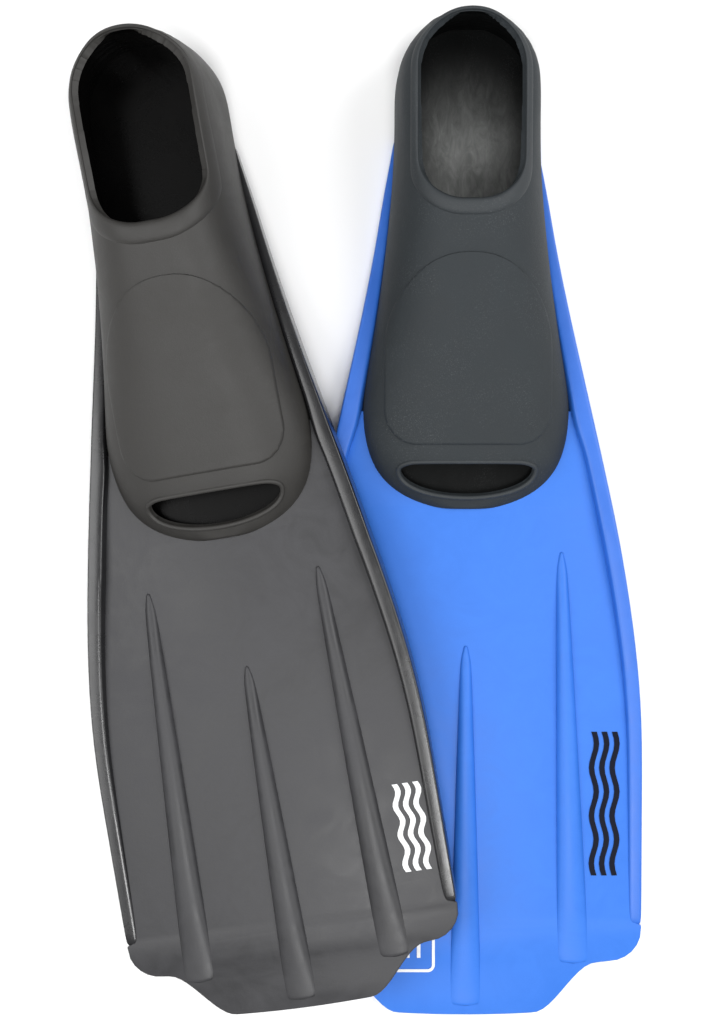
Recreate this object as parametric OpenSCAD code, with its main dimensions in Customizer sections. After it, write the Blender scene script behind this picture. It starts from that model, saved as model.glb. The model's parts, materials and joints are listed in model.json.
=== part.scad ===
// A pair of full-foot rubber swim fins, the black one leaning on the blue one.
// Each fin lies along -Y from its heel, with its sole on the floor at z = 0.
// The origin is on the floor under the middle of the blue fin's round heel.
// Stations are distances from the back of a fin's heel.

/* [Foot pocket] */
// Length of the foot pocket, heel to front lip
pocket_len = 269; // [250:1:300]
// Length of the black fin's foot pocket, which is a size longer
black_pocket_len = 278; // [255:1:300]
// Width across the ball of the foot
pocket_w = 115; // [100:1:124]
// Width across the heel
heel_w = 79; // [70:1:84]
// Station where the sides begin to widen from the heel
waist_s = 60; // [50:1:80]
// Station of the ball of the foot, the widest place
ball_s = 208; // [190:1:220]
// Wall of the soft rubber
wall = 4; // [3:0.5:6]
// Height of the rim behind the heel
heel_h = 72; // [60:1:80]
// Height of the rim beside the ankle
ankle_h = 60; // [50:1:66]
// Height of the instep just ahead of the opening
instep_h = 71; // [64:1:80]
// Height of the bridge behind the toe slot
toe_h = 30; // [26:1:38]
// Height of the front lip
lip_h = 13; // [11:0.5:18]
// Thickness of the sole
sole_t = 5; // [4:0.5:8]
// Thickness of the insole
insole_t = 3; // [1.5:0.5:5]

/* [Openings] */
// Width of the foot opening
mouth_w = 57; // [48:1:60]
// Width of the black fin's foot opening
black_mouth_w = 66; // [54:1:68]
// Length of the foot opening
mouth_l = 100; // [90:1:110]
// Distance from the heel's back to the opening
mouth_back = 7; // [6:0.5:10]
// Width of the collar band around the opening
collar_w = 8; // [6:0.5:10]
// Thickness of the collar band
collar_t = 5; // [3:0.5:7]
// Width of the toe slot
slot_w = 75; // [50:1:80]
// Length of the toe slot along the foot
slot_l = 19; // [12:1:22]
// Width of the lip ahead of the toe slot
lip_w = 7; // [6:0.5:10]
// Width of the toe bridge behind the slot
bridge_w = 11; // [8:1:16]

/* [Instep panel] */
// Width of the raised instep panel
panel_w = 92; // [70:1:94]
// Length of the raised instep panel
panel_l = 103; // [80:1:106]
// How far the panel stands above the pocket
panel_rise = 1.2; // [0.8:0.2:2.4]

/* [Blade] */
// Overall length of the blue fin
fin_len = 550; // [500:1:640]
// Overall length of the black fin
black_fin_len = 538; // [500:1:640]
// Width of the blue fin's blade
blue_blade_w = 196; // [170:1:220]
// Width of the black fin's blade
black_blade_w = 186; // [170:1:210]
// Station where the rails' outline starts to flare
flare_start = 20; // [0:1:40]
// Station where the outline reaches its full width
flare_end = 405; // [380:1:440]
// Width that the outline flares from
flare_w = 80; // [72:1:86]
// Gap from the front lip to the line where the blade flexes
flex_gap = 11; // [8:1:20]
// Thickness of the blade at its root
root_t = 5; // [4:0.5:7]
// Thickness of the blade at its tip
tip_t = 2.5; // [2:0.5:4]
// Height of the blade's top surface at its root
root_z = 10.5; // [9:0.5:13]
// Height of the blade's top surface at its tip
tip_z = 5.5; // [4.5:0.5:8]
// How far the middle of the trailing edge stands out past its sides
lobe_l = 25; // [10:1:30]
// Half-width where the step in the trailing edge begins
lobe_in = 38; // [34:1:44]
// Half-width where that step ends
lobe_out = 72; // [64:1:76]
// Radius of the blade's outer corners
corner_r = 18; // [8:1:24]

/* [Rails] */
// Width of a side rail
rail_w = 8; // [6:0.5:10]
// Height of a rail beside the toes
rail_h = 16; // [14:0.5:20]
// Height of a rail at its rear end
rail_rear_h = 9; // [7:0.5:12]
// Height of a rail at its front end
rail_tip_h = 7; // [6.5:0.5:9]
// Station of a rail's rear end
rail_rear_s = 80; // [70:1:100]
// Distance from a rail's front end to the corner's curve
rail_end_gap = 2; // [1:0.5:10]

/* [Ribs] */
// Width of a rib at its pointed end
rib_w_start = 4; // [3:0.5:6]
// Width of a rib near the trailing edge
rib_w_end = 18; // [12:1:20]
// Height of a rib near the trailing edge
rib_h = 3.5; // [2:0.5:5]
// Distance from the flex line to the outer ribs' start
outer_rib_gap = 12; // [10:1:50]
// Distance from the flex line to the centre rib's start
centre_rib_gap = 64; // [40:1:100]
// Distance in from the blade's edge to an outer rib's start
rib_inset_start = 45; // [42:1:50]
// Distance in from the blade's edge to an outer rib's end
rib_inset_end = 38; // [36:1:42]
// Distance from a rib's end to the trailing edge
rib_end_gap = 5; // [3:1:12]

/* [Printed marks] */
// Length of the blue fin's printed wave mark
mark_l = 80; // [40:1:90]
// Length of the black fin's printed wave mark
black_mark_l = 48; // [40:1:90]
// Width of the printed wave mark
mark_w = 15; // [8:1:16]
// Distance from the wave mark's middle to the tip, on the blue fin
mark_tip_gap = 118; // [90:1:140]
// Distance from the wave mark's middle to the tip, on the black fin
black_mark_tip_gap = 90; // [80:1:140]
// Width of the care label's frame
label_w = 30; // [20:1:34]
// Length of the care label's frame
label_l = 58; // [30:1:80]
// Thickness of the printed ink
ink_t = 0.4; // [0.3:0.1:0.6]

/* [How the fins lie] */
// Angle between the two fins, seen from above
fan_angle = 9.5; // [6:0.1:14]
// Sideways distance between the fins' middles at the blue fin's toes
toe_gap = 131; // [127:1:155]
// How far the black heel lies behind the blue heel, or ahead if negative
heel_back = -11; // [-20:1:20]
// Clearance where one fin lies on the other
stack_gap = 0.6; // [0.4:0.1:2]

/* [Hidden] */

$fn = 32;
bond = 0.05;               // hairline between bonded pieces
seat_gap = 0.3;            // between a rail and the pocket's curved side
insole_gap = 0.8;          // between the insole and the pocket's inner wall
flex_cut = 0.3;            // gap across the flex line
cut = 1;                   // how far a cutter overshoots
far = 400;                 // larger than a fin's width or height
flex_s = pocket_len + flex_gap;
heel_gap = toe_gap + pocket_len * tan(fan_angle);
blue_half = blue_blade_w / 2;
black_half = black_blade_w / 2;
rail_end_s = tail_s(max(blue_half, black_half) - corner_r) - corner_r - rail_end_gap;
mouth_front = mouth_back + mouth_l;
$mouth_w = mouth_w;        // the black fin's pieces are built with their own
cup_s = mouth_front - 19;  // station where the heel cup meets the upper
slot_back = pocket_len - lip_w - slot_l;
cap_s = slot_back - bridge_w + 4;
root_s = ball_s + 4;       // station where the blade's root starts
rail_taper = 0.7;          // how narrow a rail's front end is, to its root
crown_rise = 0.07;         // slope of the closed crown over the opening
arch_steps = 20;           // points over the pocket's arch
side_bulge = 1.6;          // how late the pocket's sides widen
toe_round = 2.7;           // how square the toe's outline is
heel_arch = 3;             // how square the arch is at the ankle
toe_arch = 2.4;            // how square the arch is at the toes
print_inset = 21;          // blue wave mark's middle, in from the blade's edge
black_print_inset = 17.5;  // black wave mark's middle, in from the blade's edge
label_room = 1;            // between the care label and a rib
label_x = -32;             // care label's middle
label_tip_gap = 53;        // care label's middle, from the tip

blue_rubber = [0.20, 0.50, 0.95];
charcoal_rubber = [0.24, 0.25, 0.26];
black_rubber = [0.30, 0.29, 0.29];
black_gloss = [0.10, 0.10, 0.11];
dark_ink = [0.03, 0.03, 0.08];
white_ink = [0.93, 0.93, 0.93];

// ---- Curves -------------------------------------------------------------

function mix(a, b, t) = a + (b - a) * t;
function clamp01(t) = max(0, min(1, t));
function smooth(t) = let (c = clamp01(t)) c * c * (3 - 2 * c);
function span(a, b, n) = [for (i = [0:n]) mix(a, b, i / n)];
function bow(t, m) = pow(max(0, 1 - pow(max(0, t), m)), 1 / m);
function signed_pow(v, e) = sign(v) * pow(abs(v), e);

// Half-width of the pocket at a station, pulled in by inset
function pocket_half(s, inset = 0) =
    let (
        r = heel_w / 2 - inset,
        ball = pocket_w / 2 - inset,
        front = pocket_len - inset
    )
    s < inset + r ? sqrt(max(0, r * r - pow(inset + r - s, 2)))
    : s < waist_s ? r
    : s < ball_s ? r + (ball - r) * pow((s - waist_s) / (ball_s - waist_s), side_bulge)
    : ball * bow((s - ball_s) / (front - ball_s), toe_round);

// Height of the pocket's crown at a station
function crown_z(s) =
    s < mouth_front ? instep_h + crown_rise * (mouth_front - s)
    : s < slot_back ? mix(instep_h, toe_h, (s - mouth_front) / (slot_back - mouth_front))
    : mix(toe_h, lip_h, (s - slot_back) / (pocket_len - slot_back));

function arch_power(s) =
    mix(heel_arch, toe_arch, clamp01((s - mouth_front) / (slot_back - mouth_front)));

// Height of the pocket's outer skin above a point
function skin_z(x, s) =
    sole_t + (crown_z(s) - sole_t) * bow(abs(x) / pocket_half(s), arch_power(s));

// Height of the rim around the back of the heel
function rim_z(s) = mix(heel_h, ankle_h, smooth(s / waist_s));

// Half-width of the fin over its rails
function edge_half(s, half) =
    mix(flare_w / 2, half, smooth((s - flare_start) / (flare_end - flare_start)));

function rail_height(s) =
    s < ball_s ? mix(rail_rear_h, rail_h, smooth((s - rail_rear_s) / (ball_s - rail_rear_s)))
    : s < flex_s ? rail_h
    : mix(rail_h, rail_tip_h, (s - flex_s) / (rail_end_s - flex_s));

function blade_top(s) = mix(root_z, tip_z, (s - flex_s) / (fin_len - flex_s));
function blade_thick(s) = mix(root_t, tip_t, (s - flex_s) / (fin_len - flex_s));

// Station of the trailing edge beside the centre line
function tail_s(x) =
    fin_len - lobe_l * smooth((abs(x) - lobe_in) / (lobe_out - lobe_in))
    - 4 * pow(x / lobe_out, 2);

// A closed outline round a centre station: longer or squarer to the front or back
function oval(half, centre, back, front, back_m, front_m, n = 48) = [
    for (i = [0:n - 1]) let (
        a = 360 * i / n,
        m = sin(a) > 0 ? back_m : front_m,
        l = sin(a) > 0 ? back : front
    )
    [half * signed_pow(cos(a), 2 / m), -centre + l * signed_pow(sin(a), 2 / m)]
];

function mouth_oval(grow = 0) = oval(
    $mouth_w / 2 + grow, mouth_back + mouth_l / 2,
    mouth_l / 2 + grow, mouth_l / 2 + grow, 2.2, 3.2
);
function slot_oval() = oval(slot_w / 2, slot_back + 3, 3, slot_l - 3, 4, 2.3);
function panel_oval() = oval(
    panel_w / 2, cap_s - 29, panel_l - 25, 25, 2.2, 4
);

// ---- Lofts --------------------------------------------------------------

// Joins rings of points, all of one length, into a closed solid
module loft(rings, closed = false) {
    n = len(rings[0]);
    m = len(rings);
    points = [for (r = rings) each r];
    sides = [
        for (k = [0:closed ? m - 1 : m - 2], i = [0:n - 1]) let (
            a = k * n + i,
            b = k * n + (i + 1) % n,
            c = ((k + 1) % m) * n + (i + 1) % n,
            d = ((k + 1) % m) * n + i
        )
        each [[a, b, c], [a, c, d]]
    ];
    caps = closed ? [] : [
        [for (i = [n - 1:-1:0]) i],
        [for (i = [0:n - 1]) (m - 1) * n + i]
    ];
    faces = concat(sides, caps);
    polyhedron(points, faces_out(points, sides) ? reversed(faces) : faces);
}

// Whether the faces run anticlockwise as seen from outside
function faces_out(points, faces) =
    let (middle = sum(points) / len(points))
    sum([
        for (f = faces)
            cross(points[f[1]] - points[f[0]], points[f[2]] - points[f[0]])
            * (points[f[0]] - middle)
    ]) > 0;

function sum(list) = [for (v = list) 1] * list;
function reversed(faces) =
    [for (f = faces) [for (i = [len(f) - 1:-1:0]) f[i]]];

// Keeps a shape made of lofts as one mesh
module as_mesh() {
    resize([0, 0, 0]) children();
}

// The half space ahead of station a and behind station b
module slab(a, b) {
    translate([-far / 2, -b, -cut]) cube([far, b - a, far]);
}

module prism(points, low = -cut, high = far) {
    translate([0, 0, low]) linear_extrude(high - low) polygon(points);
}

// ---- Foot pocket --------------------------------------------------------

// One arch of the pocket; a skirt carries a cutter down through the sole's top
function arch_ring(s, inset, skirt) =
    let (
        half = pocket_half(s, inset),
        rise = crown_z(s) - inset - sole_t,
        e = 2 / arch_power(s)
    )
    concat(
        skirt > 0 ? [[half, -s, sole_t - skirt]] : [],
        [for (i = [0:arch_steps]) let (a = 180 * i / arch_steps)
            [half * signed_pow(cos(a), e), -s, sole_t + rise * pow(sin(a), e)]],
        skirt > 0 ? [[-half, -s, sole_t - skirt]] : []
    );

function pocket_stations(inset) = concat(
    [for (t = [0.02, 0.08, 0.18, 0.32, 0.5, 0.72]) inset + (heel_w / 2 - inset) * t],
    span(heel_w / 2, waist_s, 1),
    span(waist_s + 20, ball_s, 7),
    [for (t = [0.2, 0.4, 0.6, 0.75, 0.87, 0.95, 0.99])
        ball_s + (pocket_len - inset - ball_s) * t]
);

module pocket_solid(inset = 0, skirt = 0) {
    loft([for (s = pocket_stations(inset)) arch_ring(s, inset, skirt)]);
}

module above_rim() {
    rotate([90, 0, -90]) linear_extrude(far, center = true) polygon(concat(
        [for (s = span(-cut, waist_s, 10)) [s, rim_z(s)]],
        [[cup_s + cut, ankle_h], [cup_s + cut, far], [-cut, far]]
    ));
}

module heel_cup_shape() {
    difference() {
        intersection() {
            pocket_solid();
            slab(-cut, cup_s);
        }
        pocket_solid(wall, cut);
        prism(mouth_oval());
        above_rim();
    }
}

module upper_shape() {
    difference() {
        intersection() {
            pocket_solid();
            slab(cup_s + bond, cap_s - bond);
        }
        pocket_solid(wall, cut);
        prism(mouth_oval());
    }
}

module heel_cup(tint) {
    color(tint) as_mesh() heel_cup_shape();
}

module upper(tint) {
    color(tint) as_mesh() upper_shape();
}

module toe_cap(tint) {
    color(tint) as_mesh() difference() {
        intersection() {
            pocket_solid();
            slab(cap_s, pocket_len + cut);
        }
        pocket_solid(wall, cut);
        prism(slot_oval());
    }
}

// The collar follows the rim, then climbs over the instep
function collar_z(p) =
    -p.y < cup_s ? rim_z(-p.y) : skin_z(p.x, -p.y);

module collar(tint) {
    path = mouth_oval(collar_w / 2 - 1);
    middle = -(mouth_back + mouth_l / 2);
    rings = [
        for (p = path) let (
            away = [p.x, (p.y - middle) * $mouth_w / mouth_l],
            out = away / norm(away)
        )
        [for (a = [0:36:324]) [
            p.x + out.x * collar_w / 2 * cos(a),
            p.y + out.y * collar_w / 2 * cos(a),
            collar_z(p) + collar_t / 2 * sin(a)
        ]]
    ];
    color(tint) as_mesh() difference() {
        loft(rings, closed = true);
        heel_cup_shape();
        upper_shape();
    }
}

module instep_panel(tint) {
    color(tint) as_mesh() difference() {
        intersection() {
            pocket_solid(-panel_rise);
            prism(panel_oval());
        }
        pocket_solid();
    }
}

// The pocket's outline; with no nose it ends where the lofted cavity does
function pocket_outline(inset, grow = 0, nose = true) = let (
    s_list = pocket_stations(inset),
    side = [for (s = s_list) [pocket_half(s, inset) + grow, -s]]
)
concat(
    [[0, -inset + grow]],
    side,
    nose ? [[0, -pocket_len + inset - grow]] : [],
    [for (i = [len(side) - 1:-1:0]) [-side[i].x, side[i].y]]
);

module sole(tint) {
    color(tint) linear_extrude(sole_t) polygon(pocket_outline(0));
}

module insole(tint) {
    color(tint) translate([0, 0, sole_t])
        linear_extrude(insole_t) polygon(pocket_outline(wall + insole_gap, 0, false));
}

// ---- Rails --------------------------------------------------------------

rear_stations = span(rail_rear_s, flex_s - flex_cut / 2, 20);
front_stations = span(flex_s + flex_cut / 2, rail_end_s, 14);

// Inner face of a rail: it fills the space beside the pocket, then narrows
function rail_inner(s, half) =
    let (
        beside = pocket_half(min(s, root_s)) + seat_gap,
        ahead = edge_half(s, half) - rail_width(s)
    )
    s < root_s ? beside : mix(beside, max(beside, ahead), smooth((s - root_s) / 16));
function rail_width(s) = s < flex_s ? rail_w
    : mix(rail_w, rail_w * rail_taper, (s - flex_s) / (rail_end_s - flex_s));

// A rail's section at one station, with a rounded top
function rail_ring(s, half, side) =
    let (
        a = rail_inner(s, half),
        b = edge_half(s, half),
        h = rail_height(s),
        r = min(2.2, (b - a) / 3)
    )
    [for (q = [
        [a + r / 2, 0], [b - r / 2, 0], [b, r / 2], [b, h - r],
        [b - r * 0.3, h - r * 0.3], [b - r, h], [a + r, h],
        [a + r * 0.3, h - r * 0.3], [a, h - r], [a, r / 2]
    ]) [side * q.x, -s, q.y]];

module rail_along(stations, half, side) {
    loft([for (s = stations) rail_ring(s, half, side)]);
}

module rear_rail(half, side, tint) {
    color(tint) rail_along(rear_stations, half, side);
}

module rail(half, side, tint) {
    color(tint) rail_along(front_stations, half, side);
}

// ---- Blade --------------------------------------------------------------

// A wedge as thick as the blade
module blade_wedge(a, b) {
    rotate([90, 0, -90]) linear_extrude(far, center = true) polygon([
        [a, blade_top(a) - blade_thick(a)],
        [b, blade_top(b) - blade_thick(b)],
        [b, blade_top(b)],
        [a, blade_top(a)]
    ]);
}

// Points along the blade's side, just inside its rail
function blade_side(stations, half) =
    [for (s = stations) [rail_inner(s, half) - bond, -s]];

function mirrored(points) =
    [for (i = [len(points) - 1:-1:0]) [-points[i].x, points[i].y]];

module blade_root(half, tint) {
    side = blade_side([for (s = rear_stations) if (s > root_s + 4) s], half);
    color(tint) intersection() {
        translate([0, 0, -cut]) linear_extrude(far) difference() {
            polygon(concat(side, mirrored(side)));
            polygon(pocket_outline(0, bond));
        }
        blade_wedge(root_s, flex_s + cut);
    }
}

// Trailing edge from the right corner to the left one
function tail_points(half) = [
    for (x = span(half - corner_r, -half + corner_r, 36)) [x, -tail_s(x)]
];

// Round corner between a side and the trailing edge
function corner_points(half) =
    let (
        x = half - corner_r,
        low = tail_s(x) - corner_r
    )
    [for (a = [0:15:75]) [x + corner_r * cos(a), -low - corner_r * sin(a)]];

module blade_panel(half, tint) {
    end = rail_end_s + bond;
    side = concat(
        blade_side(front_stations, half),
        [[rail_inner(rail_end_s, half) - bond, -end], [half, -end]]
    );
    right = concat(side, corner_points(half));
    color(tint) intersection() {
        translate([0, 0, -cut]) linear_extrude(far)
            polygon(concat(right, tail_points(half), mirrored(right)));
        blade_wedge(flex_s - cut, fin_len + cut);
    }
}

// Sets its children on the blade's sloping top surface
module on_blade() {
    slope = atan((root_z - tip_z) / (fin_len - flex_s));
    translate([0, -flex_s, root_z]) rotate([slope, 0, 0])
        translate([0, flex_s, 0]) children();
}

// A half-round rib that grows from x1 at station a to x2 at station b
module rib(a, b, x1, x2, tint) {
    rings = [
        for (t = [0, 0.01, 0.04, 0.1, 0.2, 0.4, 0.6, 0.8, 0.97, 1]) let (
            w = mix(rib_w_start, rib_w_end, t) / 2 * (t == 0 ? 0.3 : t == 0.01 ? 0.7 : 1),
            h = rib_h * (0.1 + 0.9 * smooth(t * 4)) * (t == 1 ? 0.4 : 1)
        )
        [for (i = [0:10]) [
            mix(x1, x2, t) + w * cos(18 * i), -mix(a, b, t), h * sin(18 * i)
        ]]
    ];
    color(tint) on_blade() loft(rings);
}

module outer_rib(half, side, tint) {
    x1 = half - rib_inset_start;
    x2 = half - rib_inset_end;
    rib(flex_s + outer_rib_gap, tail_s(x2) - rib_end_gap - 3, side * x1, side * x2, tint);
}

module centre_rib(tint) {
    rib(flex_s + centre_rib_gap, fin_len - rib_end_gap, 0, 0, tint);
}

// ---- Printed marks ------------------------------------------------------

// Three wavy stripes, drawn along the fin
module wave_mark(x, length, tip_gap, tint) {
    stripe = mark_w / 5;
    color(tint) on_blade() translate([x, tip_gap - fin_len, 0])
        linear_extrude(ink_t) for (k = [-1:1]) {
            upper_side = [for (t = span(-1, 1, 24))
                [k * 1.9 * stripe + stripe * (0.5 + 0.45 * sin(540 * t)), t * length / 2]];
            lower_side = [for (t = span(1, -1, 24))
                [k * 1.9 * stripe - stripe * (0.5 - 0.45 * sin(540 * t)), t * length / 2]];
            polygon(concat(upper_side, lower_side));
        }
}

module rounded_plate(w, l, r) {
    hull() for (x = [-1, 1], y = [-1, 1])
        translate([x * (w / 2 - r), y * (l / 2 - r)]) circle(r);
}

module label_print(line) {
    difference() {
        rounded_plate(label_w, label_l, 4);
        rounded_plate(label_w - 2 * line, label_l - 2 * line, 4 - line);
    }
    for (k = [-1:1])
        translate([k * 6 - 1, -label_l / 2 + 8]) square([2, label_l - 16]);
}

// Where a rib stands on the blade, with room for the print beside it
module rib_room(x1, x2) {
    a = rib_w_start / 2 + label_room;
    b = rib_w_end / 2 + label_room;
    polygon([[x1 - a, -flex_s], [x1 + a, -flex_s], [x2 + b, -fin_len], [x2 - b, -fin_len]]);
}

// A rounded frame with three plain bars, printed only where no rib stands
module care_label(tint) {
    color(tint) on_blade() linear_extrude(ink_t) difference() {
        translate([label_x, label_tip_gap - fin_len]) label_print(1.6);
        rib_room(rib_inset_start - blue_half, rib_inset_end - blue_half);
        rib_room(0, 0);
    }
}

// ---- How the fins lie ---------------------------------------------------

// The black fin is the same moulding, drawn out to its own lengths.
black_flex_s = black_pocket_len + flex_gap;
foot_draw = black_flex_s / flex_s;
blade_draw = (black_fin_len - black_flex_s) / (fin_len - flex_s);

// A station on the black fin, from one on the blue fin, and the other way round
function to_black(s) =
    s < flex_s ? s * foot_draw : black_flex_s + (s - flex_s) * blade_draw;
function from_black(s) =
    s < black_flex_s ? s / foot_draw : flex_s + (s - black_flex_s) / blade_draw;

// The black fin touches the floor along a line from its heel to its left rail.
// rest_slope is that line's slope against the fin's length, and rest_start its
// distance from the centre line at the back of the heel.
heel_r = heel_w / 2;
rest_slope = max([
    for (s = span(ball_s, rail_end_s, 60))
        (edge_half(s, black_half) - heel_r) / (to_black(s) - heel_r * foot_draw)
]);
rest_start = heel_r * (sqrt(1 + pow(rest_slope * foot_draw, 2)) - rest_slope * foot_draw);

// Distance of a point of the black fin from that line
function rest_arm(x, s) = x + rest_slope * s + rest_start;

// Where a point on the floor falls on the black fin: [x, station]
function on_black(x, y) =
    let (dx = x + heel_gap, dy = y - heel_back)
    [dx * cos(fan_angle) + dy * sin(fan_angle), dx * sin(fan_angle) - dy * cos(fan_angle)];

// Slope at which the black fin clears the blue rail at one station
function slope_needed(s, x) =
    let (
        q = on_black(x, -s),
        t = from_black(q.y),
        w = edge_half(t, black_half),
        under = t < flex_s || abs(q.x) > w - rail_w - 2 ? 0
            : blade_top(t) - blade_thick(t)
    )
    abs(q.x) > w + 1 || t > rail_end_s ? 0
        : (rail_height(s) + stack_gap - under) / rest_arm(q.x, q.y);

lean_slope = max([
    for (s = span(rail_rear_s, rail_end_s, 160), in = [0, rail_w / 2, rail_w])
        slope_needed(s, in - edge_half(s, blue_half))
]);
lean = asin(lean_slope);
pitch = asin(lean_slope * rest_slope);
lift = rest_start * lean_slope;

module blue_place() {
    translate([0, heel_r, 0]) children();
}

module black_place() {
    blue_place() translate([-heel_gap, heel_back, lift])
        rotate([0, 0, fan_angle]) rotate([-pitch, -lean, 0]) children();
}

module black_foot() {
    $mouth_w = black_mouth_w;
    black_place() scale([1, foot_draw, 1]) children();
}

module black_blade() {
    black_place() translate([0, -black_flex_s, 0]) scale([1, blade_draw, 1])
        translate([0, flex_s, 0]) children();
}

// ---- Nodes --------------------------------------------------------------

blue_place() sole(charcoal_rubber);  // blue_sole
blue_place() insole(charcoal_rubber);  // blue_insole
blue_place() heel_cup(charcoal_rubber);  // blue_heel_cup
blue_place() upper(charcoal_rubber);  // blue_upper
blue_place() toe_cap(charcoal_rubber);  // blue_toe_cap
blue_place() collar(charcoal_rubber);  // blue_collar
blue_place() instep_panel(charcoal_rubber);  // blue_instep_panel
blue_place() rear_rail(blue_half, -1, blue_rubber);  // blue_left_rear_rail
blue_place() rear_rail(blue_half, 1, blue_rubber);  // blue_right_rear_rail
blue_place() blade_root(blue_half, blue_rubber);  // blue_blade_root
blue_place() blade_panel(blue_half, blue_rubber);  // blue_blade_panel
blue_place() rail(blue_half, -1, blue_rubber);  // blue_left_rail
blue_place() rail(blue_half, 1, blue_rubber);  // blue_right_rail
blue_place() outer_rib(blue_half, -1, blue_rubber);  // blue_left_rib
blue_place() centre_rib(blue_rubber);  // blue_centre_rib
blue_place() outer_rib(blue_half, 1, blue_rubber);  // blue_right_rib
blue_place() wave_mark(blue_half - print_inset, mark_l, mark_tip_gap, dark_ink);  // blue_wave_mark
blue_place() care_label(white_ink);  // blue_care_label

black_foot() sole(black_rubber);  // black_sole
black_foot() insole(black_gloss);  // black_insole
black_foot() heel_cup(black_rubber);  // black_heel_cup
black_foot() upper(black_rubber);  // black_upper
black_foot() toe_cap(black_rubber);  // black_toe_cap
black_foot() collar(black_rubber);  // black_collar
black_foot() instep_panel(black_rubber);  // black_instep_panel
black_foot() rear_rail(black_half, -1, black_gloss);  // black_left_rear_rail
black_foot() rear_rail(black_half, 1, black_gloss);  // black_right_rear_rail
black_foot() blade_root(black_half, black_rubber);  // black_blade_root
black_blade() blade_panel(black_half, black_rubber);  // black_blade_panel
black_blade() rail(black_half, -1, black_gloss);  // black_left_rail
black_blade() rail(black_half, 1, black_gloss);  // black_right_rail
black_blade() outer_rib(black_half, -1, black_rubber);  // black_left_rib
black_blade() centre_rib(black_rubber);  // black_centre_rib
black_blade() outer_rib(black_half, 1, black_rubber);  // black_right_rib
black_blade() wave_mark(  // black_wave_mark
    black_half - black_print_inset, black_mark_l / blade_draw,
    black_mark_tip_gap / blade_draw, white_ink
);
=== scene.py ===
import json
import math

import bmesh
import bpy
from mathutils import Matrix, Vector


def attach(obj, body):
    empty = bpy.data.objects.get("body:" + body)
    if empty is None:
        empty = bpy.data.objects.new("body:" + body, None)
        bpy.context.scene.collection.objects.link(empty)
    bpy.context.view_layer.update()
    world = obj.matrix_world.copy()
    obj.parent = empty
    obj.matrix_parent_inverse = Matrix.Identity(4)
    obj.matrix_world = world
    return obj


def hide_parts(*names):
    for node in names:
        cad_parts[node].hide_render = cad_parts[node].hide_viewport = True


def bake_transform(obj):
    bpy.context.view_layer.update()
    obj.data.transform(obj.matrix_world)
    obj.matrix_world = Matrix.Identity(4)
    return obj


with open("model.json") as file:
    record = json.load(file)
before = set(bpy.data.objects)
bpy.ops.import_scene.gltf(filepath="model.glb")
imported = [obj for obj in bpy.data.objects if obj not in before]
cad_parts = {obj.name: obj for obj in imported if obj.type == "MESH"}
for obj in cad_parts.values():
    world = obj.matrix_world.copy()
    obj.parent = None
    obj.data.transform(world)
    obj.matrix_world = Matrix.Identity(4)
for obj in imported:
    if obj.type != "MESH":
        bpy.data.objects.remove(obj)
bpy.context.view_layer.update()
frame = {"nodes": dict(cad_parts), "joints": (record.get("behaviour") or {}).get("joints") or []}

# A pair of full-foot rubber fins. Every fin is modelled flat on its own sole,
# with its length along -Y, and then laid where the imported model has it.
# A station is a distance from the back of the heel. Sizes are in metres.

POCKET_LENGTH = 0.269
HEEL_RADIUS = 0.0395
WAIST = 0.060
BALL = 0.208
BALL_HALF = 0.0575
HEEL_LEAN = 0.005
SIDE_CURVE, NOSE_CURVE = 1.6, 2.7
WALL = 0.004
FLOOR_GAP = 0.0003
CROWN_HEEL, CROWN_MOUTH, CROWN_SLOT, CROWN_TOE = 0.0725, 0.071, 0.030, 0.013
MOUTH_SAG = 0.003
MOUTH_BACK, MOUTH_FRONT, MOUTH_DEPTH = 0.0088, 0.107, 1.75
SLOT_BACK, SLOT_FRONT, SLOT_HALF = 0.243, 0.262, 0.0375
SLOT_DEPTH = 0.68
PANEL_BACK, PANEL_FRONT, PANEL_HALF = 0.133, 0.234, 0.046
BED_INSET, BED_FLOOR, BED_RISE = 0.0042, 0.0045, 0.0135

# How rounded the back and the front corners of an outline are, as shares of its
# half-width, and how many steps each of those corners has.
MOUTH_CORNERS, SLOT_CORNERS, PANEL_CORNERS = (0.97, 0.86), (0.30, 0.97), (0.97, 0.40)
CORNER_STEPS = 14
# Lines and sheets start at this height and then drop onto the pocket.
ABOVE = 0.12

FLEX = 0.280
FIN_LENGTH = 0.550
RAIL_START, RAIL_END = 0.080, 0.500
RAIL_WIDTH, RAIL_END_WIDTH = 0.008, 0.0056
RAIL_START_HEIGHT, RAIL_HEIGHT, RAIL_END_HEIGHT = 0.009, 0.016, 0.007
ROOT_START = 0.214
CORNER = 0.018
EDGE_START, EDGE_START_HALF, EDGE_RUN = 0.020, 0.040, 0.385
BLADE_TOP, BLADE_THICKNESS = (0.0105, 0.0055), (0.005, 0.0025)
LOBE_HALF, STEP_WIDTH, STEP_DEPTH = 0.038, 0.034, 0.025
OUTER_RIB_START, MIDDLE_RIB_START, MIDDLE_RIB_END = 0.292, 0.344, 0.545
# An outer rib lies this far inside the fin's half-width, at its start and its end.
RIB_START_INSET, RIB_END_INSET = 0.045, 0.038
# Stations either side of the flex line, and how far its axis is off the sole.
BEND_START, BEND_END, HINGE_HEIGHT = 0.270, 0.290, 0.0163


# ---- Outlines of a fin ----------------------------------------------------

def mix(a, b, t):
    return a + (b - a) * t


def smooth(t):
    t = max(0.0, min(1.0, t))
    return t * t * (3 - 2 * t)


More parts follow.
